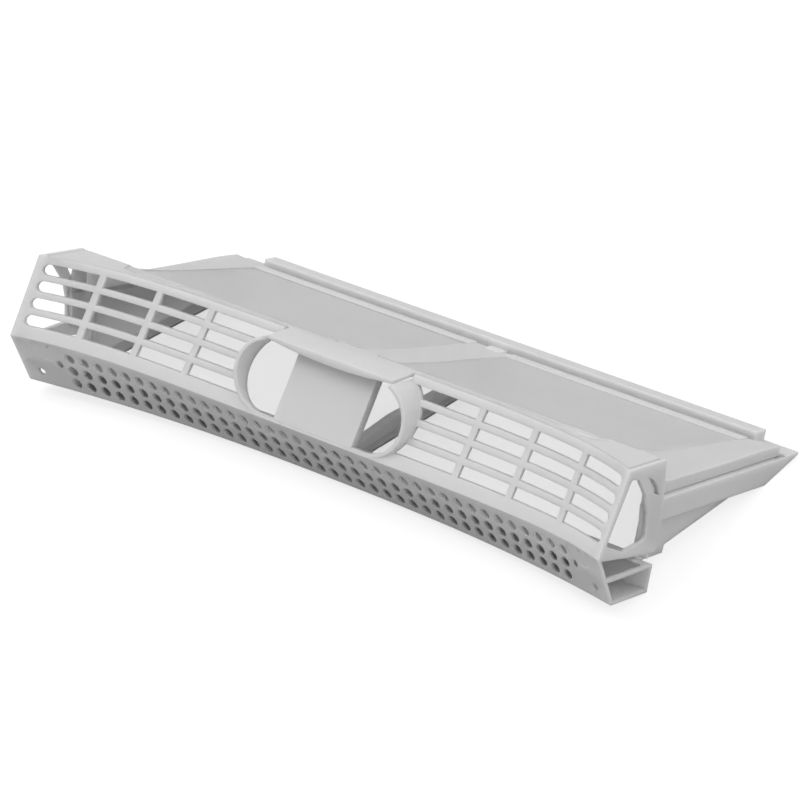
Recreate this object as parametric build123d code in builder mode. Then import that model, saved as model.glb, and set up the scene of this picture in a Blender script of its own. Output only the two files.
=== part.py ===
# Lint filter of a tumble dryer: a slotted grille head with a grip, a tray and a hinged lid,
# each with two woven screens. Sizes are in millimetres.
# The pieces are drawn in the filter's own section frame: X runs along the head, Y runs from the
# head to the hinge, Z is square to the rim, and the ridge ends lie at Y 0, Z 0. At the end
# every piece is turned and lifted, so that the filter lies as it rests on a table.

import os
from math import atan2, cos, degrees, radians, sin

from build123d import *

# Head: outline
head_half = 210.0
floor_z = -31.3
ridge_z = 0.0
kink_z = 12.0
top_z = 48.7
back_low_y = 65.0
back_top_y = 56.5
bottom_y_end = 25.5
bottom_sag = 26.9
bottom_turn = 2.45
ridge_y_end = 0.0
ridge_sag = 21.5
ridge_turn = 5.6
top_y_end = 15.9
top_sag = 30.0
top_turn = 4.6
plan_stations = [0.0, 0.35, 0.55, 0.7, 0.8, 0.88, 0.95, 1.0]

# Head: walls
face_wall = 3.0
end_wall = 2.5
shelf_top_z = -14.5
shelf_wall = 2.0
floor_wall = 2.0
channel_back_wall = 2.0
channel_end_x = 182.0
channel_end_wall = 2.0

# Head: slots of the sloped face
slot_rows = 4
slot_height = 6.8
slot_pitch = 10.2
first_slot_z = 10.4
slot_end_x = 206.0
divider_pitch = 37.5
divider_first_x = 97.3
dividers_a_side = 3
divider_width = 4.0

# Head: perforation of the lower face
hole_radius = 3.3
hole_sides = 9
hole_pitch = 9.6
hole_columns = 38
hole_row_pitch = 8.4
first_hole_z = -8.2
hole_rows = 3
dimple_radius = 10.0
dimple_depth = 0.8
dimple_x = 190.8
dimple_z = -3.2
dimple_hole_radius = 1.0
end_hole_radius = 2.6

# Head: grip
grip_half = 58.5
grip_radius = 22.0
grip_z = 24.0
grip_wall = 2.2
grip_front_y = 22.0
slot_margin = 3.0
plate_half = 27.75
plate_skin = 2.5
plate_depth = 7.5
plate_top_y = 38.0
plate_top_z = 42.5
plate_bow = 0.5
lip_half = 44.5
lip_front_y = 27.5
lip_top_z = 47.0
lip_low_z = 45.0
lip_sag = 3.0
lip_wall = 2.2
lip_side_gap = 2.0
lip_cut_z = 44.2

# Tray
rim_half = 206.5
rim_z = 22.8
rim_wall = 2.0
skirt_wall = 2.2
skirt_z = 9.0
skirt_far_y = 193.5
tip_y = 230.0
tip_z = 24.0
pocket_half = 198.0
pocket_front_z = -20.5
pocket_wall = 2.0
sill_hook = 8.0
cheek_front_y = 46.0
foot_z = -17.9
foot_far_y = 97.5
rib_half = 3.0
rib_height = 11.0
rail_half = 184.0
rail_front_y = 216.4
rail_far_y = 227.5
rail_top_z = 31.3
knuckle_half = 6.0

# Lid
lid_wall = 2.0
lid_gap = 0.5
lid_dip = 1.8
lid_head_half = 206.0
lid_rim_half = 202.8
lid_rim_z = 30.0
lid_flange_z = 23.2
lid_panel_half = 181.0
lid_far_y = 211.5
front_bar = 5.0
centre_band_half = 14.0
strip_y = 202.0
strip_rise = 0.8

# Screens
screen_wall = 0.8
screen_drop = 0.4
tray_border = 11.0

# Hinge
hinge_y = 209.5
hinge_z = 23.9
pin_radius = 1.2
pin_clearance = 0.3
ear_radius = 2.6
ear_inner_x = 196.8
ear_outer_x = 200.4

# Reach of the cutters
far_cut_y = 400.0
high_cut_z = 80.0

# The filter rests on the lower back edge of the head and on the far lower edge of the tray.
rest_tilt = degrees(atan2(skirt_z - floor_z, skirt_far_y - back_low_y))


def curve_y(station, end_y, sag, turn):
    """Y of one edge of the head at a station from 0, the middle, to 1, the end."""
    return end_y + sag * (1 - station**turn)


def face_y(station, z):
    """Y of the outer face of the head at a station and a height."""
    ridge = curve_y(station, ridge_y_end, ridge_sag, ridge_turn)
    if z < ridge_z:
        low = curve_y(station, bottom_y_end, bottom_sag, bottom_turn)
        share = (ridge_z - z) / (ridge_z - floor_z)
        return ridge + share * (low - ridge)
    high = curve_y(station, top_y_end, top_sag, top_turn)
    share = (z - ridge_z) / (top_z - ridge_z)
    return ridge + share * (high - ridge)


def front_points(z, half, inset, span):
    """Points along the face at a height, as far as half, moved back by the inset."""
    right = [(half * s, face_y(half * s / span, z) + inset) for s in plan_stations]
    left = [(-x, y) for x, y in reversed(right[1:])]
    return left + right


def back_y(z):
    """Y of the back edge of the end plates at a height."""
    share = max(0.0, (z - kink_z) / (top_z - kink_z))
    return back_low_y + share * (back_top_y - back_low_y)


def head_body(heights, half, inset, back):
    """A solid between the face and the back, ruled from height to height."""
    with BuildPart() as body:
        for z in heights:
            points = front_points(z, half, inset, head_half)
            far_y = back if back else back_y(z)
            with BuildSketch(Plane.XY.offset(z)):
                with BuildLine():
                    Spline(points)
                    Polyline(points[-1], (half, far_y), (-half, far_y), points[0])
                make_face()
        loft(ruled=True)
    return body.part


def front_view(depth_plane_y):
    """A plane square to Y, with X to the right and Z up."""
    return Plane(origin=(0, depth_plane_y, 0), x_dir=(1, 0, 0), z_dir=(0, -1, 0))


def side_view(x):
    """A plane square to X, with Y to the right and Z up."""
    return Plane(origin=(x, 0, 0), x_dir=(0, 1, 0), z_dir=(1, 0, 0))


def lid_room(half, inset, low_z):
    """The room behind the face, from a height upwards, that the lid fills or must have."""
    points = front_points(top_z, half, inset, head_half - end_wall)
    with BuildPart() as room:
        with BuildSketch(Plane.XY.offset(low_z)):
            with BuildLine():
                Spline(points)
                Polyline(points[-1], (half, lid_far_y), (-half, lid_far_y), points[0])
            make_face()
        extrude(amount=high_cut_z)
    return room.part


def side_prism(points, x_from, x_to):
    """A prism along X over an outline of (Y, Z) points."""
    with BuildPart() as prism:
        with BuildSketch(side_view(x_from)):
            with BuildLine():
                Polyline(*points, close=True)
            make_face()
        extrude(amount=x_to - x_from)
    return prism.part


def at_both_ends(part):
    """The part and its mirror image at the other end of the filter."""
    return [part, part.mirror(Plane.YZ)]


body_heights = [floor_z, ridge_z, kink_z, top_z]
head_outline = head_body(body_heights, head_half, 0.0, None)
behind_face = head_outline.moved(Location((0, face_wall / 2, 0)))
dimple_skin = head_outline - head_outline.moved(Location((0, dimple_depth, 0)))
plate_y = face_y(0, ridge_z)
plate_mid_z = plate_top_z / 2
plate_mid_y = (plate_y + plate_top_y) / 2 + plate_bow

# Grip: a collar that stands forward of the sloped face, and the handle plate in it
with BuildPart() as grip_collar:
    with BuildSketch(front_view(back_top_y)):
        with Locations((0, grip_z)):
            SlotOverall(2 * (grip_half + grip_wall), 2 * (grip_radius + grip_wall))
            SlotOverall(2 * grip_half, 2 * grip_radius, mode=Mode.SUBTRACT)
    extrude(amount=back_top_y - grip_front_y)
    add(behind_face, mode=Mode.SUBTRACT)

with BuildPart() as handle_plate:
    with BuildSketch(side_view(-plate_half)):
        with BuildLine():
            ThreePointArc(
                (plate_y, ridge_z), (plate_mid_y, plate_mid_z), (plate_top_y, plate_top_z)
            )
            Line((plate_top_y, plate_top_z), (plate_top_y + plate_depth, plate_top_z))
            Line((plate_top_y + plate_depth, plate_top_z), (plate_y + plate_depth, ridge_z))
            Line((plate_y + plate_depth, ridge_z), (plate_y, ridge_z))
        make_face()
    extrude(amount=2 * plate_half)
    with BuildSketch(side_view(plate_skin - plate_half)):
        with BuildLine():
            ThreePointArc(
                (plate_y + plate_skin, ridge_z),
                (plate_mid_y + plate_skin, plate_mid_z),
                (plate_top_y + plate_skin, plate_top_z),
            )
            Line(
                (plate_top_y + plate_skin, plate_top_z),
                (plate_top_y + 2 * plate_depth, plate_top_z),
            )
            Line(
                (plate_top_y + 2 * plate_depth, plate_top_z),
                (plate_y + 2 * plate_depth, ridge_z),
            )
            Line((plate_y + 2 * plate_depth, ridge_z), (plate_y + plate_skin, ridge_z))
        make_face()
    extrude(amount=2 * (plate_half - plate_skin), mode=Mode.SUBTRACT)

# Grille head: shell, shelf and the closed channel under it
inside_heights = [shelf_top_z, ridge_z, high_cut_z]
channel_heights = [floor_z + floor_wall, shelf_top_z - shelf_wall]
slot_zs = [first_slot_z + row * slot_pitch for row in range(slot_rows)]
slot_mid_z = (slot_zs[0] + slot_zs[-1]) / 2
divider_xs = [divider_first_x + n * divider_pitch for n in range(dividers_a_side)]
hole_mid_z = first_hole_z - (hole_rows - 1) / 2 * hole_row_pitch
end_cut_x = head_half - end_wall - 0.1
end_cut_reach = end_wall + 1.1
window_outline = [(40.0, 41.0), (46.5, 38.5), (53.5, 33.0), (56.5, 28.0), (49.0, 30.0)]
end_gap_outline = [
    (4.4, -1.5),
    (30.7, -4.3),
    (back_low_y + 1, -7.6),
    (back_low_y + 1, shelf_top_z),
    (15.0, shelf_top_z),
]
end_hole_outline = [
    (6.1, 6.9),
    (26.9, -0.1),
    (50.5, 2.6),
    (47.0, 18.5),
    (42.0, 29.0),
    (29.7, 41.2),
    (20.5, 43.0),
]

with BuildPart() as channel_ends:
    add(head_body(channel_heights, head_half + 1, face_wall, back_low_y - channel_back_wall))
    Box(2 * channel_end_x, far_cut_y, high_cut_z * 2, mode=Mode.SUBTRACT)

with BuildPart() as end_hole:
    with BuildSketch(side_view(end_cut_x)):
        with BuildLine():
            FilletPolyline(*end_hole_outline, close=True, radius=2.5)
        make_face()
    extrude(amount=end_cut_reach)

with BuildPart() as dimples:
    with BuildSketch(front_view(back_low_y)):
        with Locations((dimple_x, dimple_z), (-dimple_x, dimple_z)):
            RegularPolygon(dimple_radius, 2 * hole_sides)
        with Locations((0, ridge_z - 1.2 + high_cut_z / 2)):
            Rectangle(far_cut_y * 2, high_cut_z, mode=Mode.SUBTRACT)
    extrude(amount=far_cut_y / 4)
    add(dimple_skin, mode=Mode.INTERSECT)

with BuildPart() as grille_head:
    add(head_outline)
    add(
        head_body(inside_heights, head_half - end_wall, face_wall, far_cut_y),
        mode=Mode.SUBTRACT,
    )
    add(
        head_body(
            channel_heights,
            channel_end_x - channel_end_wall,
            face_wall,
            back_low_y - channel_back_wall,
        ),
        mode=Mode.SUBTRACT,
    )
    add(channel_ends.part, mode=Mode.SUBTRACT)
    # Slots, cut straight back, clear of the grip
    with BuildSketch(front_view(back_top_y)) as slots:
        with Locations((0, slot_mid_z)):
            with GridLocations(0, slot_pitch, 1, slot_rows):
                SlotOverall(2 * slot_end_x, slot_height)
        for x in divider_xs:
            with Locations((x, slot_mid_z), (-x, slot_mid_z)):
                Rectangle(divider_width, high_cut_z, mode=Mode.SUBTRACT)
        with Locations((0, grip_z)):
            SlotOverall(
                2 * (grip_half + slot_margin),
                2 * (grip_radius + slot_margin),
                mode=Mode.SUBTRACT,
            )
            Rectangle(2 * (lip_half + lip_side_gap), high_cut_z, mode=Mode.SUBTRACT)
    extrude(amount=far_cut_y / 4, mode=Mode.SUBTRACT)
    # Perforation, cut straight back into the channel
    with BuildSketch(front_view(back_low_y - channel_back_wall)):
        with Locations((0, hole_mid_z)):
            with GridLocations(hole_pitch, hole_row_pitch, hole_columns, hole_rows):
                RegularPolygon(hole_radius, hole_sides)
    extrude(amount=far_cut_y / 4, mode=Mode.SUBTRACT)
    # Shallow dimples and small holes near both ends, beyond the closed channel
    add(dimples.part, mode=Mode.SUBTRACT)
    with BuildSketch(front_view(back_low_y - channel_back_wall)):
        with Locations((dimple_x, dimple_z), (-dimple_x, dimple_z)):
            RegularPolygon(dimple_hole_radius, hole_sides)
        with Locations((185.6, -14.0), (199.6, -23.2), (-185.6, -14.0), (-199.6, -23.2)):
            RegularPolygon(end_hole_radius, hole_sides)
    extrude(amount=far_cut_y / 4, mode=Mode.SUBTRACT)
    # Grip opening, open at the top for the lip of the lid
    with BuildSketch(front_view(back_low_y)):
        with Locations((0, grip_z)):
            SlotOverall(2 * grip_half, 2 * grip_radius)
    extrude(amount=far_cut_y / 4, mode=Mode.SUBTRACT)
    add(grip_collar.part)
    add(handle_plate.part)
    with BuildSketch(front_view(back_low_y)):
        with Locations((0, top_z)):
            Rectangle(2 * (lip_half + lip_side_gap), 2 * (top_z - lip_cut_z))
    extrude(amount=far_cut_y / 4, mode=Mode.SUBTRACT)
    add(
        lid_room(lid_head_half + lid_gap, face_wall + 0.1, top_z - lid_wall - lid_dip),
        mode=Mode.SUBTRACT,
    )
    # Openings of both end plates
    for outline in (window_outline, end_gap_outline):
        for cutter in at_both_ends(side_prism(outline, end_cut_x, head_half + 1)):
            add(cutter, mode=Mode.SUBTRACT)
    for cutter in at_both_ends(end_hole.part):
        add(cutter, mode=Mode.SUBTRACT)
grille_head.part.label = "grille_head"


def pocket_z(y):
    """Height of the tray's underside at a distance from the head."""
    share = (y - back_low_y) / (skirt_far_y - back_low_y)
    return pocket_front_z + share * (skirt_z - pocket_front_z)


def end_slope_z(y):
    """Height of the slanted far underside."""
    return skirt_z + (y - skirt_far_y) / (tip_y - skirt_far_y) * (tip_z - 1.5 - skirt_z)


skirt_outline = [
    (back_low_y, skirt_z),
    (skirt_far_y, skirt_z),
    (tip_y, end_slope_z(tip_y)),
    (tip_y, tip_z),
    (rail_front_y, tip_z),
    (rail_front_y, rim_z),
    (back_low_y, rim_z),
]
hinge_well_y = hinge_y - 3.2
ledge_outline = [
    (back_low_y, rim_z - rim_wall),
    (hinge_well_y, rim_z - rim_wall),
    (hinge_well_y, rim_z),
    (back_low_y, rim_z),
]
foot_reach = (foot_z - pocket_front_z) / (skirt_z - pocket_front_z) * (skirt_far_y - back_low_y)
pocket_side_outline = [
    (back_low_y, pocket_front_z),
    (back_low_y + foot_reach, foot_z),
    (foot_far_y, foot_z),
    (foot_far_y + 0.5, pocket_z(foot_far_y + 0.5)),
    (skirt_far_y, skirt_z),
    (tip_y, end_slope_z(tip_y)),
    (rail_front_y, rim_z - rim_wall - 0.2),
    (hinge_well_y, rim_z - rim_wall - 0.2),
    (hinge_well_y, rim_z - rim_wall),
    (back_low_y, rim_z),
]
floor_outline = [
    (back_low_y, pocket_front_z),
    (skirt_far_y, skirt_z),
    (skirt_far_y, skirt_z + pocket_wall),
    (back_low_y, pocket_front_z + pocket_wall),
]
rail_inner_y = rail_front_y + rim_wall
far_wall_low = [
    (skirt_far_y, skirt_z),
    (rail_inner_y, end_slope_z(rail_inner_y)),
]
far_wall_high = [
    (rail_front_y, end_slope_z(rail_front_y) + pocket_wall),
    (skirt_far_y, skirt_z + pocket_wall),
]
far_wall_outline = [
    *far_wall_low,
    (rail_inner_y, tip_z - rim_wall),
    (tip_y, tip_z - rim_wall),
    (tip_y, tip_z),
    (rail_front_y, tip_z),
    *far_wall_high,
]
rail_outline = [
    *far_wall_low,
    (rail_inner_y, rail_top_z - rim_wall),
    (rail_far_y - rim_wall, rail_top_z - rim_wall),
    (rail_far_y - rim_wall, tip_z - rim_wall),
    (tip_y, tip_z - rim_wall),
    (tip_y, tip_z),
    (rail_far_y, tip_z),
    (rail_far_y, rail_top_z),
    (rail_front_y, rail_top_z),
    *far_wall_high,
]
rail_end_outline = [
    (rail_front_y, tip_z - rim_wall),
    (rail_far_y, tip_z - rim_wall),
    (rail_far_y, rail_top_z),
    (rail_front_y, rail_top_z),
]
sill_outline = [
    (back_low_y - sill_hook, shelf_top_z),
    (back_low_y, shelf_top_z),
    (back_low_y, pocket_front_z),
    (back_low_y + pocket_wall, pocket_front_z),
    (back_low_y + pocket_wall, shelf_top_z + pocket_wall),
    (back_low_y - sill_hook, shelf_top_z + pocket_wall),
]
cheek_outline = [
    (cheek_front_y, rim_z),
    (cheek_front_y + 5.5, 1.0),
    (back_low_y + 3.0, -4.0),
    (back_low_y + 3.0, rim_z),
]
rib_outline = [
    (back_low_y + pocket_wall, pocket_z(back_low_y) + 1),
    (skirt_far_y, skirt_z + 1),
    (skirt_far_y, skirt_z + rib_height * 0.6),
    (back_low_y + 40, pocket_z(back_low_y + 40) + rib_height),
    (back_low_y + pocket_wall, shelf_top_z + pocket_wall),
]
knuckle_outline = [
    (hinge_y - 3.6, end_slope_z(hinge_y - 3.6) + 1),
    (rail_front_y, end_slope_z(rail_front_y) + 1),
    (rail_front_y, 27.2),
    (hinge_y - 3.6, 27.2),
]
tray_window_far_y = skirt_far_y - tray_border
tray_window_front_y = back_low_y + tray_border
tray_window_length = tray_window_far_y - tray_window_front_y
tray_window_width = pocket_half - tray_border - rib_half - 4.0
tray_window_x = rib_half + 4.0 + tray_window_width / 2
tray_window_y = (tray_window_front_y + tray_window_far_y) / 2

with BuildPart() as tray_windows:
    with BuildSketch(Plane.XY.offset(floor_z)):
        with Locations((tray_window_x, tray_window_y), (-tray_window_x, tray_window_y)):
            RectangleRounded(tray_window_width, tray_window_length, 5.0)
    extrude(amount=high_cut_z)

with BuildPart() as ear:
    with BuildSketch(side_view(ear_inner_x)):
        with Locations((hinge_y, hinge_z)):
            Circle(ear_radius)
        with Locations((hinge_y, (hinge_z + end_slope_z(hinge_y)) / 2)):
            Rectangle(2 * ear_radius - 1, hinge_z - end_slope_z(hinge_y) - 1)
    extrude(amount=ear_outer_x - ear_inner_x)

with BuildPart() as ear_bore:
    with BuildSketch(side_view(ear_inner_x - 3)):
        with Locations((hinge_y, hinge_z)):
            Circle(pin_radius + pin_clearance)
    extrude(amount=ear_outer_x - ear_inner_x + 3)

with BuildPart() as tray:
    add(side_prism(floor_outline, -pocket_half, pocket_half))
    add(tray_windows.part, mode=Mode.SUBTRACT)
    for piece in at_both_ends(side_prism(far_wall_outline, rail_half, rim_half)):
        add(piece)
    add(side_prism(rail_outline, -rail_half, rail_half))
    for piece in at_both_ends(side_prism(rail_end_outline, rail_half - rim_wall, rail_half)):
        add(piece)
    add(side_prism(sill_outline, -pocket_half, pocket_half))
    add(side_prism(rib_outline, -rib_half, rib_half))
    add(side_prism(knuckle_outline, -knuckle_half, knuckle_half))
    for wall in (
        side_prism(skirt_outline, rim_half - skirt_wall, rim_half),
        side_prism(ledge_outline, pocket_half - pocket_wall, rim_half),
        side_prism(pocket_side_outline, pocket_half - pocket_wall, pocket_half),
        side_prism(cheek_outline, rim_half - skirt_wall, head_half - end_wall),
    ):
        for piece in at_both_ends(wall):
            add(piece)
    # Hinge ears
    for piece in at_both_ends(ear.part):
        add(piece)
    for piece in at_both_ends(ear_bore.part):
        add(piece, mode=Mode.SUBTRACT)
tray.part.label = "tray"


# Lid: the height of its top along Y, level over the head, then falling to the hinge
lid_flat_y = back_top_y - 1.0
lid_crest = [
    (lid_flat_y, top_z),
    (back_top_y + 6, top_z - 2.6),
    (80.0, 41.2),
    (100.0, 38.2),
    (150.0, 33.1),
    (strip_y, 28.0),
    (lid_far_y, 27.2),
]
lid_brow = [
    (lid_flat_y, top_z),
    (back_top_y + 4, top_z - 6.5),
    (back_low_y + 4, lid_rim_z + 2.5),
    (back_low_y + 20, lid_rim_z + 0.3),
    (150.0, lid_rim_z),
    (strip_y, lid_rim_z),
    (lid_far_y, lid_rim_z - 0.5),
]


def lid_section(x, points, drop, wall):
    """A closed outline under a smooth top edge, square to X."""
    upper = [(y, z - drop) for y, z in points]
    lower = [(y, z - wall) for y, z in upper]
    with BuildSketch(side_view(x)) as section:
        with BuildLine():
            Spline(upper, tangents=((1, 0), (1, -0.05)))
            Line(upper[-1], lower[-1])
            Spline(lower, tangents=((1, 0), (1, -0.05)))
            Line(lower[0], upper[0])
        make_face()
    return section.sketch


window_corner_x = 170.0


def bar_y(x):
    """Y of the back edge of the lid's front bar."""
    return face_y(x / head_half, top_z) + face_wall + lid_gap + front_bar


with BuildPart() as lid_windows:
    window_stations = [centre_band_half, 60.0, 100.0, 135.0, window_corner_x - 8]
    bar_points = [(x, bar_y(x)) for x in window_stations]
    with BuildSketch(Plane.XY):
        with BuildLine():
            Spline(bar_points)
            Polyline(
                bar_points[-1],
                (window_corner_x, 48.0),
                (lid_panel_half - 3, 72.0),
                (lid_panel_half, 92.0),
                (lid_panel_half, strip_y),
                (centre_band_half, strip_y),
                bar_points[0],
            )
        make_face()
        mirror(about=Plane.YZ)
    extrude(amount=high_cut_z)

with BuildPart() as lid_panel:
    extrude(lid_section(-lid_panel_half, lid_crest, 0, lid_wall), amount=2 * lid_panel_half)

with BuildPart() as lid_border:
    crest_face = lid_section(lid_panel_half, lid_crest, 0, lid_wall).face()
    brow_face = lid_section(lid_rim_half, lid_brow, 0, lid_wall).face()
    loft([crest_face, brow_face], ruled=True)

lid_head_outline = [
    (ridge_y_end, top_z - lid_wall),
    (lid_flat_y, top_z - lid_wall),
    (lid_flat_y, top_z),
    (ridge_y_end, top_z),
]
lid_flange_outline = [
    (back_low_y + 4, lid_flange_z),
    (hinge_y, lid_flange_z),
    (lid_far_y, hinge_z),
    (lid_far_y, lid_rim_z - lid_wall),
    (back_low_y + 4, lid_rim_z),
]
lid_tail_outline = [
    (hinge_y, hinge_z),
    (lid_far_y, hinge_z),
    (lid_far_y, 26.5),
    (hinge_y, 26.5),
]
strip_outline = [
    (strip_y, 27.0),
    (lid_far_y, 26.3),
    (lid_far_y, 27.2 + strip_rise),
    (strip_y + 1, 28.0 + strip_rise),
    (strip_y, 28.0),
]

with BuildPart() as lip:
    lip_back_y = face_y(0, top_z) + face_wall + front_bar
    with BuildSketch(front_view(back_low_y)):
        with BuildLine():
            Polyline(
                (-lip_half, lip_low_z),
                (-lip_half, top_z),
                (lip_half, top_z),
                (lip_half, lip_low_z),
            )
            ThreePointArc(
                (lip_half, lip_low_z),
                (0, lip_low_z - lip_sag),
                (-lip_half, lip_low_z),
            )
        make_face()
    extrude(amount=back_low_y)
    add(
        side_prism(
            [
                (lip_front_y, lip_low_z - lip_sag),
                (lip_front_y + lip_wall, lip_low_z - lip_sag),
                (lip_front_y + lip_wall, lip_top_z - lip_wall),
                (face_y(0, top_z), top_z - lip_wall),
                (lip_back_y, top_z - lid_wall),
                (lip_back_y, top_z),
                (face_y(0, top_z), top_z),
                (lip_front_y, lip_top_z),
            ],
            -lip_half,
            lip_half,
        ),
        mode=Mode.INTERSECT,
    )

with BuildPart() as pin:
    with BuildSketch(side_view(ear_inner_x - 1)):
        with Locations((hinge_y, hinge_z)):
            Circle(pin_radius)
    extrude(amount=lid_rim_half - ear_inner_x)

with BuildPart() as lid:
    add(lid_panel.part)
    add(side_prism(lid_head_outline, -lid_head_half, lid_head_half))
    for piece in at_both_ends(lid_border.part):
        add(piece)
    add(lid_room(lid_head_half, face_wall + lid_gap, 0), mode=Mode.INTERSECT)
    add(lid_windows.part, mode=Mode.SUBTRACT)
    add(lip.part)
    add(side_prism(strip_outline, centre_band_half, lid_panel_half))
    add(side_prism(strip_outline, -lid_panel_half, -centre_band_half))
    add(side_prism(lid_tail_outline, knuckle_half + 0.6, lid_panel_half))
    add(side_prism(lid_tail_outline, -lid_panel_half, -knuckle_half - 0.6))
    flange = side_prism(lid_flange_outline, lid_rim_half - lid_wall, lid_rim_half)
    for piece in at_both_ends(flange):
        add(piece)
    # Clearance over the middle block of the tray
    with Locations((0, hinge_y + 2, hinge_z)):
        Box(2 * knuckle_half + 1.2, 14.0, 12.0, mode=Mode.SUBTRACT)
    # Hinge pins
    for piece in at_both_ends(pin.part):
        add(piece)
lid.part.label = "lid"


def lid_screen(side):
    """The woven screen of one lid window, set flush with the frame."""
    with BuildPart() as sheet:
        section = lid_section(-lid_panel_half, lid_crest, screen_drop, screen_wall)
        extrude(section, amount=2 * lid_panel_half)
        add(side_prism(
            [
                (ridge_y_end, top_z - screen_drop - screen_wall),
                (lid_flat_y, top_z - screen_drop - screen_wall),
                (lid_flat_y, top_z - screen_drop),
                (ridge_y_end, top_z - screen_drop),
            ],
            -lid_panel_half,
            lid_panel_half,
        ))
        add(lid_windows.part, mode=Mode.INTERSECT)
        with Locations((-side * head_half, 0, 0)):
            Box(2 * head_half, far_cut_y * 2, far_cut_y, mode=Mode.SUBTRACT)
    return sheet.part


def tray_screen(side):
    """The woven screen of one tray window, set in the middle of the floor's thickness."""
    low = (pocket_wall - screen_wall) / 2
    with BuildPart() as sheet:
        add(side_prism(
            [
                (back_low_y, pocket_front_z + low),
                (skirt_far_y, skirt_z + low),
                (skirt_far_y, skirt_z + low + screen_wall),
                (back_low_y, pocket_front_z + low + screen_wall),
            ],
            -pocket_half,
            pocket_half,
        ))
        add(tray_windows.part, mode=Mode.INTERSECT)
        with Locations((-side * head_half, 0, 0)):
            Box(2 * head_half, far_cut_y * 2, far_cut_y, mode=Mode.SUBTRACT)
    return sheet.part


pieces = {
    "grille_head": grille_head.part,
    "tray": tray.part,
    "lid": lid.part,
    "lid_screen_left": lid_screen(-1),
    "lid_screen_right": lid_screen(1),
    "tray_screen_left": tray_screen(-1),
    "tray_screen_right": tray_screen(1),
}

# Turned about X by the rest tilt, and moved so that the lowest edges lie at Z 0 and the
# middle of the footprint at Y 0.
turn = radians(rest_tilt)
lift = back_low_y * sin(turn) - floor_z * cos(turn)
front_most = face_y(1, ridge_z)
far_most = tip_y * cos(turn) + tip_z * sin(turn)
slide = -(front_most + far_most) / 2
rest = Location((0, slide, lift)) * Location((0, 0, 0), (-rest_tilt, 0, 0))

os.makedirs("parts", exist_ok=True)
for name, part in pieces.items():
    placed = part.moved(rest)
    placed.label = name
    export_step(placed, f"parts/{name}.step")
    print(name, len(placed.solids()), "solids", round(placed.volume), "mm3")
print("rest tilt", round(rest_tilt, 2), "lift", round(lift, 2), "slide", round(slide, 2))
hinge_world = rest * Location((0, hinge_y, hinge_z))
print("hinge axis at", [round(v, 3) for v in tuple(hinge_world.position)])
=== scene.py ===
import math

import bmesh
import bpy
from mathutils import Matrix, Vector


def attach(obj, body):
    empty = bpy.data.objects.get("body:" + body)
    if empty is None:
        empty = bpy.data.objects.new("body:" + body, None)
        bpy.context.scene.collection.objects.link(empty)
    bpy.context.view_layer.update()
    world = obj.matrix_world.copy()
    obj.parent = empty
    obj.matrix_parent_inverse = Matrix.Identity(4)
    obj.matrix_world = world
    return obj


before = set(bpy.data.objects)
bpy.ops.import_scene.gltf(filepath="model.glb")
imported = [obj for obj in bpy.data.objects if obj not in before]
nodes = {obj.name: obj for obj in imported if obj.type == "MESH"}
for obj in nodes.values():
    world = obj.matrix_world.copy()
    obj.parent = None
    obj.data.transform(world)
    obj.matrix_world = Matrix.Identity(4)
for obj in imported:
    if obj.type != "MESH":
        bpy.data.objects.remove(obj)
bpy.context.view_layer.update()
print("frame loaded:", len(nodes), "nodes")


# helpers for nodes, materials and meshes

def addSocket(group, name, kind, way, value=None):
    socket = group.interface.new_socket(name=name, in_out=way, socket_type=kind)
    if value is not None:
        socket.default_value = value


def wire(tree, pairs):
    for source, target in pairs:
        tree.links.new(source, target)


def setInputs(node, values):
    for name, value in values.items():
        node.inputs[name].default_value = value


def mathNode(tree, operation, constants=None):
    node = tree.nodes.new("ShaderNodeMath")
    node.operation = operation
    for place, value in (constants or {}).items():
        node.inputs[place].default_value = value
    return node


def noiseNode(tree, scale, detail):
    node = tree.nodes.new("ShaderNodeTexNoise")
    setInputs(node, {"Scale": scale, "Detail": detail})
    return node


def bumpNode(tree, distance, strength=1.0):
    node = tree.nodes.new("ShaderNodeBump")
    setInputs(node, {"Distance": distance, "Strength": strength})
    return node


def freshMaterial(name):
    material = bpy.data.materials.new(name)
    material.use_nodes = True
    tree = material.node_tree
    tree.nodes.clear()
    shader = tree.nodes.new("ShaderNodeBsdfPrincipled")
    output = tree.nodes.new("ShaderNodeOutputMaterial")
    tree.links.new(shader.outputs["BSDF"], output.inputs["Surface"])
    return material, tree, shader


def dress(nodeName, material):
    piece = nodes[nodeName]
    piece.data.materials.clear()
    piece.data.materials.append(material)


def meshPiece(shape, name, material):
    mesh = bpy.data.meshes.new(name)
    shape.to_mesh(mesh)
    shape.free()
    mesh.materials.append(material)
    piece = bpy.data.objects.new(name, mesh)
    bpy.context.collection.objects.link(piece)
    return piece


def drawOut(shape, path):
    drawn = bmesh.ops.extrude_face_region(shape, geom=shape.faces[:])
    moved = [item for item in drawn["geom"] if isinstance(item, bmesh.types.BMVert)]
    bmesh.ops.translate(shape, vec=path, verts=moved)


# slow flow marks of moulded polypropylene: a tone that drifts a little over the part

flowLook = {
    "tone": (0.6, 0.6, 0.6, 1),
    "scale": 14.0,
    "depth": 0.05,
    "detail": 3.0,
    "roughness": 0.45,
    "distortion": 0.8,
}


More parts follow.
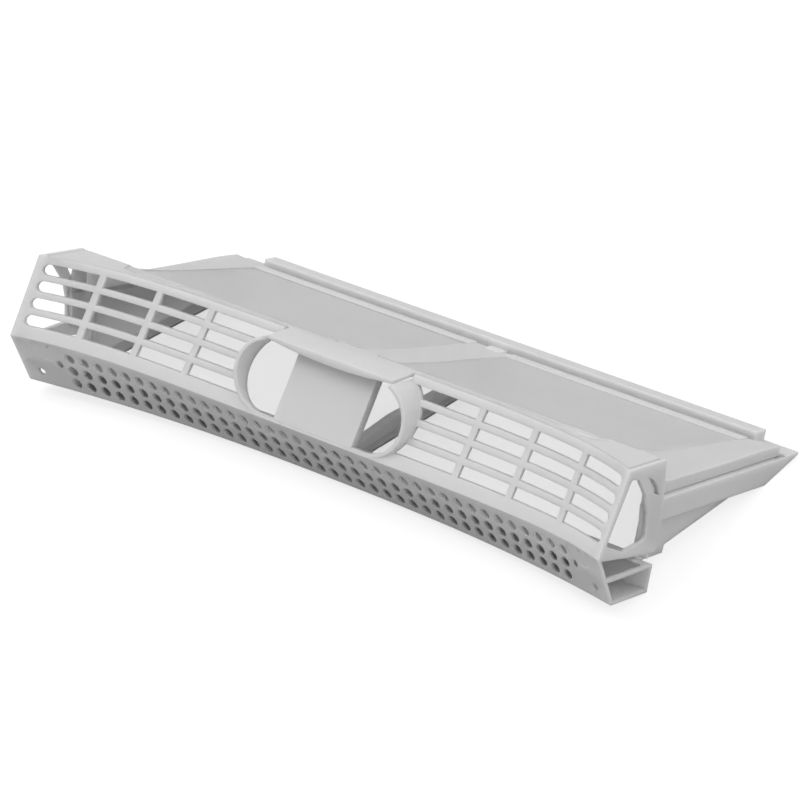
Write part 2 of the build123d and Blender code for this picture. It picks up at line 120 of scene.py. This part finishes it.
def flowMarksGroup():
    group = bpy.data.node_groups.new("flowMarks", "ShaderNodeTree")
    addSocket(group, "Vector", "NodeSocketVector", "INPUT")
    addSocket(group, "Tone", "NodeSocketColor", "INPUT", flowLook["tone"])
    addSocket(group, "Scale", "NodeSocketFloat", "INPUT", flowLook["scale"])
    addSocket(group, "Depth", "NodeSocketFloat", "INPUT", flowLook["depth"])
    addSocket(group, "Color", "NodeSocketColor", "OUTPUT")
    addSocket(group, "Marks", "NodeSocketFloat", "OUTPUT")
    start = group.nodes.new("NodeGroupInput")
    end = group.nodes.new("NodeGroupOutput")
    drift = noiseNode(group, flowLook["scale"], flowLook["detail"])
    setInputs(drift, {
        "Roughness": flowLook["roughness"],
        "Distortion": flowLook["distortion"],
    })
    centred = mathNode(group, "SUBTRACT", {1: 0.5})
    scaled = mathNode(group, "MULTIPLY_ADD", {2: 1.0})
    toned = group.nodes.new("ShaderNodeVectorMath")
    toned.operation = "SCALE"
    wire(group, [
        (start.outputs["Vector"], drift.inputs["Vector"]),
        (start.outputs["Scale"], drift.inputs["Scale"]),
        (drift.outputs["Fac"], centred.inputs[0]),
        (centred.outputs["Value"], scaled.inputs[0]),
        (start.outputs["Depth"], scaled.inputs[1]),
        (start.outputs["Tone"], toned.inputs[0]),
        (scaled.outputs["Value"], toned.inputs["Scale"]),
        (toned.outputs["Vector"], end.inputs["Color"]),
        (drift.outputs["Fac"], end.inputs["Marks"]),
    ])
    return group


# crossed threads of a plain weave on flat coordinates: high where a thread passes over

def plainWeaveGroup():
    group = bpy.data.node_groups.new("plainWeave", "ShaderNodeTree")
    addSocket(group, "Vector", "NodeSocketVector", "INPUT")
    addSocket(group, "Pitch", "NodeSocketFloat", "INPUT", 0.0006)
    addSocket(group, "Height", "NodeSocketFloat", "OUTPUT")
    start = group.nodes.new("NodeGroupInput")
    end = group.nodes.new("NodeGroupOutput")
    split = group.nodes.new("ShaderNodeSeparateXYZ")
    group.links.new(start.outputs["Vector"], split.inputs["Vector"])
    threads = []
    for axis in ("X", "Y"):
        turns = mathNode(group, "DIVIDE")
        angle = mathNode(group, "MULTIPLY", {1: math.tau})
        wave = mathNode(group, "COSINE")
        wire(group, [
            (split.outputs[axis], turns.inputs[0]),
            (start.outputs["Pitch"], turns.inputs[1]),
            (turns.outputs["Value"], angle.inputs[0]),
            (angle.outputs["Value"], wave.inputs[0]),
        ])
        threads.append(wave.outputs["Value"])
    over = mathNode(group, "MAXIMUM")
    half = mathNode(group, "MULTIPLY_ADD", {1: 0.5, 2: 0.5})
    wire(group, [
        (threads[0], over.inputs[0]),
        (threads[1], over.inputs[1]),
        (over.outputs["Value"], half.inputs[0]),
        (half.outputs["Value"], end.inputs["Height"]),
    ])
    return group


flowMarks = flowMarksGroup()
plainWeave = plainWeaveGroup()
print("node groups made")


def placeMarks(tree, tone, look):
    marks = tree.nodes.new("ShaderNodeGroup")
    marks.node_tree = flowMarks
    setInputs(marks, {
        "Tone": (*tone, 1),
        "Scale": look["markScale"],
        "Depth": look["markDepth"],
    })
    return marks


# pale grey moulded plastic of the three frames, a fine eroded grain with soft edges; the
# frames are one plastic, and their tones differ only as painted light and shade

plasticLook = {
    # painted light and shade: the tray's tone is set lighter and the lid's darker than the
    # head's
    "headPaintedTone": (0.725, 0.725, 0.725),
    "trayPaintedTone": (0.79, 0.79, 0.79),
    "lidPaintedTone": (0.69, 0.69, 0.69),
    "markScale": 11.0,
    "markDepth": 0.05,
    "grainScale": 1500.0,
    "grainDetail": 2.0,
    "grainHeight": 0.00004,
    "grainStrength": 0.6,
    "waveScale": 26.0,        # moulded walls are never dead flat
    "waveDetail": 1.0,
    "waveHeight": 0.00025,
    "roughLow": 0.44,
    "roughHigh": 0.60,
    "edgeRadius": 0.0005,
    "edgeSamples": 4,
    "glow": 0.8,              # light goes through the thin walls
    "glowReach": 0.010,
    "glowSpread": (1, 1, 1),
    "ior": 1.49,
    "specular": 0.42,
}


def mouldedPlastic(name, tone):
    material, tree, shader = freshMaterial(name)
    place = tree.nodes.new("ShaderNodeTexCoord")
    marks = placeMarks(tree, tone, plasticLook)
    grain = noiseNode(tree, plasticLook["grainScale"], plasticLook["grainDetail"])
    drift = noiseNode(tree, plasticLook["waveScale"], plasticLook["waveDetail"])
    rough = tree.nodes.new("ShaderNodeMapRange")
    setInputs(rough, {
        "To Min": plasticLook["roughLow"],
        "To Max": plasticLook["roughHigh"],
    })
    edge = tree.nodes.new("ShaderNodeBevel")
    edge.samples = plasticLook["edgeSamples"]
    edge.inputs["Radius"].default_value = plasticLook["edgeRadius"]
    wavy = bumpNode(tree, plasticLook["waveHeight"])
    fine = bumpNode(tree, plasticLook["grainHeight"], plasticLook["grainStrength"])
    wire(tree, [
        (place.outputs["Object"], marks.inputs["Vector"]),
        (place.outputs["Object"], grain.inputs["Vector"]),
        (place.outputs["Object"], drift.inputs["Vector"]),
        (marks.outputs["Color"], shader.inputs["Base Color"]),
        (marks.outputs["Marks"], rough.inputs["Value"]),
        (rough.outputs["Result"], shader.inputs["Roughness"]),
        (drift.outputs["Fac"], wavy.inputs["Height"]),
        (edge.outputs["Normal"], wavy.inputs["Normal"]),
        (grain.outputs["Fac"], fine.inputs["Height"]),
        (wavy.outputs["Normal"], fine.inputs["Normal"]),
        (fine.outputs["Normal"], shader.inputs["Normal"]),
    ])
    setInputs(shader, {
        "Subsurface Weight": plasticLook["glow"],
        "Subsurface Scale": plasticLook["glowReach"],
        "Subsurface Radius": plasticLook["glowSpread"],
        "IOR": plasticLook["ior"],
        "Specular IOR Level": plasticLook["specular"],
    })
    return material


# three copies of one plastic, their tones set apart as painted light and shade
headPlastic = mouldedPlastic("headPlastic", plasticLook["headPaintedTone"])
trayPlastic = mouldedPlastic("trayPlastic", plasticLook["trayPaintedTone"])
lidPlastic = mouldedPlastic("lidPlastic", plasticLook["lidPaintedTone"])
dress("grille_head", headPlastic)
dress("tray", trayPlastic)
dress("lid", lidPlastic)
print("plastic frames dressed")


# the added webs and skin are drawn in the filter's own lie, in millimetres, as
# (sideways, along, up), and laid down from there as the CAD lies on the floor

filterLie = {"tilt": 17.412, "slide": -113.32, "lift": 49.32, "millimetre": 0.001}


def layDown(shape, name, material):
    lie = (Matrix.Translation((0, filterLie["slide"], filterLie["lift"]))
           @ Matrix.Rotation(math.radians(-filterLie["tilt"]), 4, "X"))
    toMetres = Matrix.Scale(filterLie["millimetre"], 4)
    bmesh.ops.transform(shape, matrix=toMetres @ lie, verts=shape.verts[:])
    bmesh.ops.recalc_face_normals(shape, faces=shape.faces[:])
    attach(meshPiece(shape, name, material), "filter_body")


# thin webs of the tray at its front corners and small ledges at its far end
# outlines are (along, up), drawn out sideways

cornerWebs = {
    "softEdge": 0.25,
    "softSegments": 2,
    "slabs": {
        "cheekTop": {
            "outline": [(46.0, 22.4), (45.6, 30.0), (46.6, 38.0), (49.6, 43.2),
                        (57.0, 43.2), (61.6, 23.0), (61.6, 22.4)],
            "from": 204.7, "to": 207.2,
        },
        "slantedWeb": {
            "outline": [(65.0, 22.0), (67.0, 22.0), (63.6, 33.5), (61.6, 33.5)],
            "from": 196.5, "to": 207.2,
        },
        "uprightWeb": {
            "outline": [(65.1, -13.0), (67.1, -13.0), (67.1, 22.3), (65.1, 22.3)],
            "from": 197.5, "to": 205.5,
        },
        "farLedge": {
            "outline": [(206.0, 21.2), (216.8, 21.2), (216.8, 22.8), (206.0, 22.8)],
            "from": 203.2, "to": 204.7,
        },
    },
}


def cornerWeb(name, slab, side):
    shape = bmesh.new()
    start = side * slab["from"]
    shape.faces.new([shape.verts.new((start, along, up)) for along, up in slab["outline"]])
    drawOut(shape, (side * (slab["to"] - slab["from"]), 0, 0))
    bmesh.ops.recalc_face_normals(shape, faces=shape.faces[:])
    bmesh.ops.bevel(shape, geom=shape.edges[:], offset=cornerWebs["softEdge"],
                    segments=cornerWebs["softSegments"], affect="EDGES", profile=0.5,
                    material=-1)
    layDown(shape, name, trayPlastic)


for sideName, side in (("Left", -1), ("Right", 1)):
    for slabName, slab in cornerWebs["slabs"].items():
        cornerWeb(slabName + sideName, slab, side)
print("corner webs added")


# smooth skin on top of the head's shelf, its front edge along the curved face

shelfSkin = {
    "up": -14.5,
    "tall": 0.3,
    "back": 56.8,
    "halfSpan": 207.3,
    "strips": 28,
    "faceWall": 3.05,
    "faceDrop": 31.3,         # from the face's ridge down to its low edge
    "headHalf": 210.0,
    "ridge": {"end": 0.0, "sag": 21.5, "turn": 5.6},
    "low": {"end": 25.5, "sag": 26.9, "turn": 2.45},
}


def curveDepth(line, station):
    return line["end"] + line["sag"] * (1 - abs(station) ** line["turn"])


def shelfTop():
    share = -shelfSkin["up"] / shelfSkin["faceDrop"]
    shape = bmesh.new()
    bmesh.ops.create_grid(shape, x_segments=shelfSkin["strips"], y_segments=1, size=1.0)
    for corner in shape.verts:
        sideways = corner.co.x * shelfSkin["halfSpan"]
        station = sideways / shelfSkin["headHalf"]
        ridge = curveDepth(shelfSkin["ridge"], station)
        low = curveDepth(shelfSkin["low"], station)
        front = ridge + share * (low - ridge) + shelfSkin["faceWall"]
        along = front if corner.co.y < 0 else shelfSkin["back"]
        corner.co = (sideways, along, shelfSkin["up"])
    drawOut(shape, (0, 0, shelfSkin["tall"]))
    layDown(shape, "shelfSkin", headPlastic)


shelfTop()
print("shelf skin laid")


# fine woven screens, held in the frames a little slack

screenLook = {
    "threadTone": (0.85, 0.85, 0.85),
    "markScale": 16.0,
    "markDepth": 0.06,
    "threadPitch": 0.00085,
    "threadHeight": 0.00010,
    "threadStrength": 0.5,
    "slackScale": 7.0,
    "slackDetail": 1.0,
    "slackHeight": 0.0022,
    "rough": 0.72,
    "sheen": 0.15,
    "specular": 0.3,
    "glow": 0.9,              # the cloth passes light, like a lamp shade
    "glowReach": 0.003,
    "glowSpread": (1, 1, 1),
    "lidOpacity": 0.50,       # for each of the sheet's two faces
    "trayOpacity": 0.08,
}


def wovenScreen(name, opacity):
    material, tree, shader = freshMaterial(name)
    place = tree.nodes.new("ShaderNodeTexCoord")
    marks = placeMarks(tree, screenLook["threadTone"], screenLook)
    weave = tree.nodes.new("ShaderNodeGroup")
    weave.node_tree = plainWeave
    weave.inputs["Pitch"].default_value = screenLook["threadPitch"]
    slack = noiseNode(tree, screenLook["slackScale"], screenLook["slackDetail"])
    sag = bumpNode(tree, screenLook["slackHeight"])
    threads = bumpNode(tree, screenLook["threadHeight"], screenLook["threadStrength"])
    wire(tree, [
        (place.outputs["Object"], marks.inputs["Vector"]),
        (place.outputs["Object"], weave.inputs["Vector"]),
        (place.outputs["Object"], slack.inputs["Vector"]),
        (marks.outputs["Color"], shader.inputs["Base Color"]),
        (slack.outputs["Fac"], sag.inputs["Height"]),
        (weave.outputs["Height"], threads.inputs["Height"]),
        (sag.outputs["Normal"], threads.inputs["Normal"]),
        (threads.outputs["Normal"], shader.inputs["Normal"]),
    ])
    setInputs(shader, {
        "Roughness": screenLook["rough"],
        "Alpha": opacity,
        "Subsurface Weight": screenLook["glow"],
        "Subsurface Scale": screenLook["glowReach"],
        "Subsurface Radius": screenLook["glowSpread"],
        "Sheen Weight": screenLook["sheen"],
        "Specular IOR Level": screenLook["specular"],
    })
    return material


lidCloth = wovenScreen("lidCloth", screenLook["lidOpacity"])
trayCloth = wovenScreen("trayCloth", screenLook["trayOpacity"])
for sideName in ("left", "right"):
    dress("lid_screen_" + sideName, lidCloth)
    dress("tray_screen_" + sideName, trayCloth)
print("screens dressed")


# plain pale floor, white to the camera apart from the soft shadow under the filter

floorLook = {"reach": 6.0, "tone": 0.34, "rough": 0.9, "lift": 0.76}


def paleFloor():
    material, tree, shader = freshMaterial("floorPaper")
    tone = floorLook["tone"]
    setInputs(shader, {
        "Base Color": (tone, tone, tone, 1),
        "Roughness": floorLook["rough"],
        "Specular IOR Level": 0.0,
        "Emission Color": (1, 1, 1, 1),
    })
    rays = tree.nodes.new("ShaderNodeLightPath")
    lift = mathNode(tree, "MULTIPLY", {1: floorLook["lift"]})
    wire(tree, [
        (rays.outputs["Is Camera Ray"], lift.inputs[0]),
        (lift.outputs["Value"], shader.inputs["Emission Strength"]),
    ])
    sheet = bmesh.new()
    bmesh.ops.create_grid(sheet, x_segments=1, y_segments=1, size=floorLook["reach"])
    meshPiece(sheet, "floor", material)


paleFloor()
print("floor laid")


# lamps and camera stand at a place and look at a target

def standAndLook(name, data, place, target):
    item = bpy.data.objects.new(name, data)
    bpy.context.collection.objects.link(item)
    item.location = place
    aim = Vector(target) - item.location
    item.rotation_euler = aim.to_track_quat("-Z", "Y").to_euler()
    return item


# soft studio light: a strong lamp up front on the left and a weak one on the right

studioLight = {
    "world": 0.92,
    "backdrop": 1.0,
    "key": {"place": (-0.6, -1.0, 2.2), "size": 1.6, "power": 15.0},
    "fill": {"place": (1.8, -0.2, 1.0), "size": 1.6, "power": 5.0},
    "aim": (0.0, 0.0, 0.03),
}


def softLamp(name, place, size, power):
    data = bpy.data.lights.new(name, "AREA")
    data.shape = "DISK"
    data.size = size
    data.energy = power
    standAndLook(name, data, place, studioLight["aim"])


def whiteWorld():
    world = bpy.data.worlds.new("studioWorld")
    bpy.context.scene.world = world
    world.use_nodes = True
    tree = world.node_tree
    tree.nodes.clear()
    back = tree.nodes.new("ShaderNodeBackground")
    rays = tree.nodes.new("ShaderNodeLightPath")
    level = tree.nodes.new("ShaderNodeMapRange")
    setInputs(level, {
        "To Min": studioLight["world"],
        "To Max": studioLight["backdrop"],
    })
    out = tree.nodes.new("ShaderNodeOutputWorld")
    wire(tree, [
        (rays.outputs["Is Camera Ray"], level.inputs["Value"]),
        (level.outputs["Result"], back.inputs["Strength"]),
        (back.outputs["Background"], out.inputs["Surface"]),
    ])


softLamp("keyLamp", **studioLight["key"])
softLamp("fillLamp", **studioLight["fill"])
whiteWorld()
print("lamps and world set")


# the camera stands where the photographer's did

viewpoint = {
    "place": (1.0262, -1.4306, 1.0744),
    "target": (0.00656, -0.01332, 0.03091),
    "lens": 154.55,
    "sensor": 36.0,
    "farthest": 20.0,
}


def photoCamera():
    data = bpy.data.cameras.new("photoCamera")
    data.lens = viewpoint["lens"]
    data.sensor_width = viewpoint["sensor"]
    data.clip_end = viewpoint["farthest"]
    bpy.context.scene.camera = standAndLook(
        "photoCamera", data, viewpoint["place"], viewpoint["target"])


photoCamera()
bpy.context.scene.view_settings.view_transform = "Standard"
print("camera set")
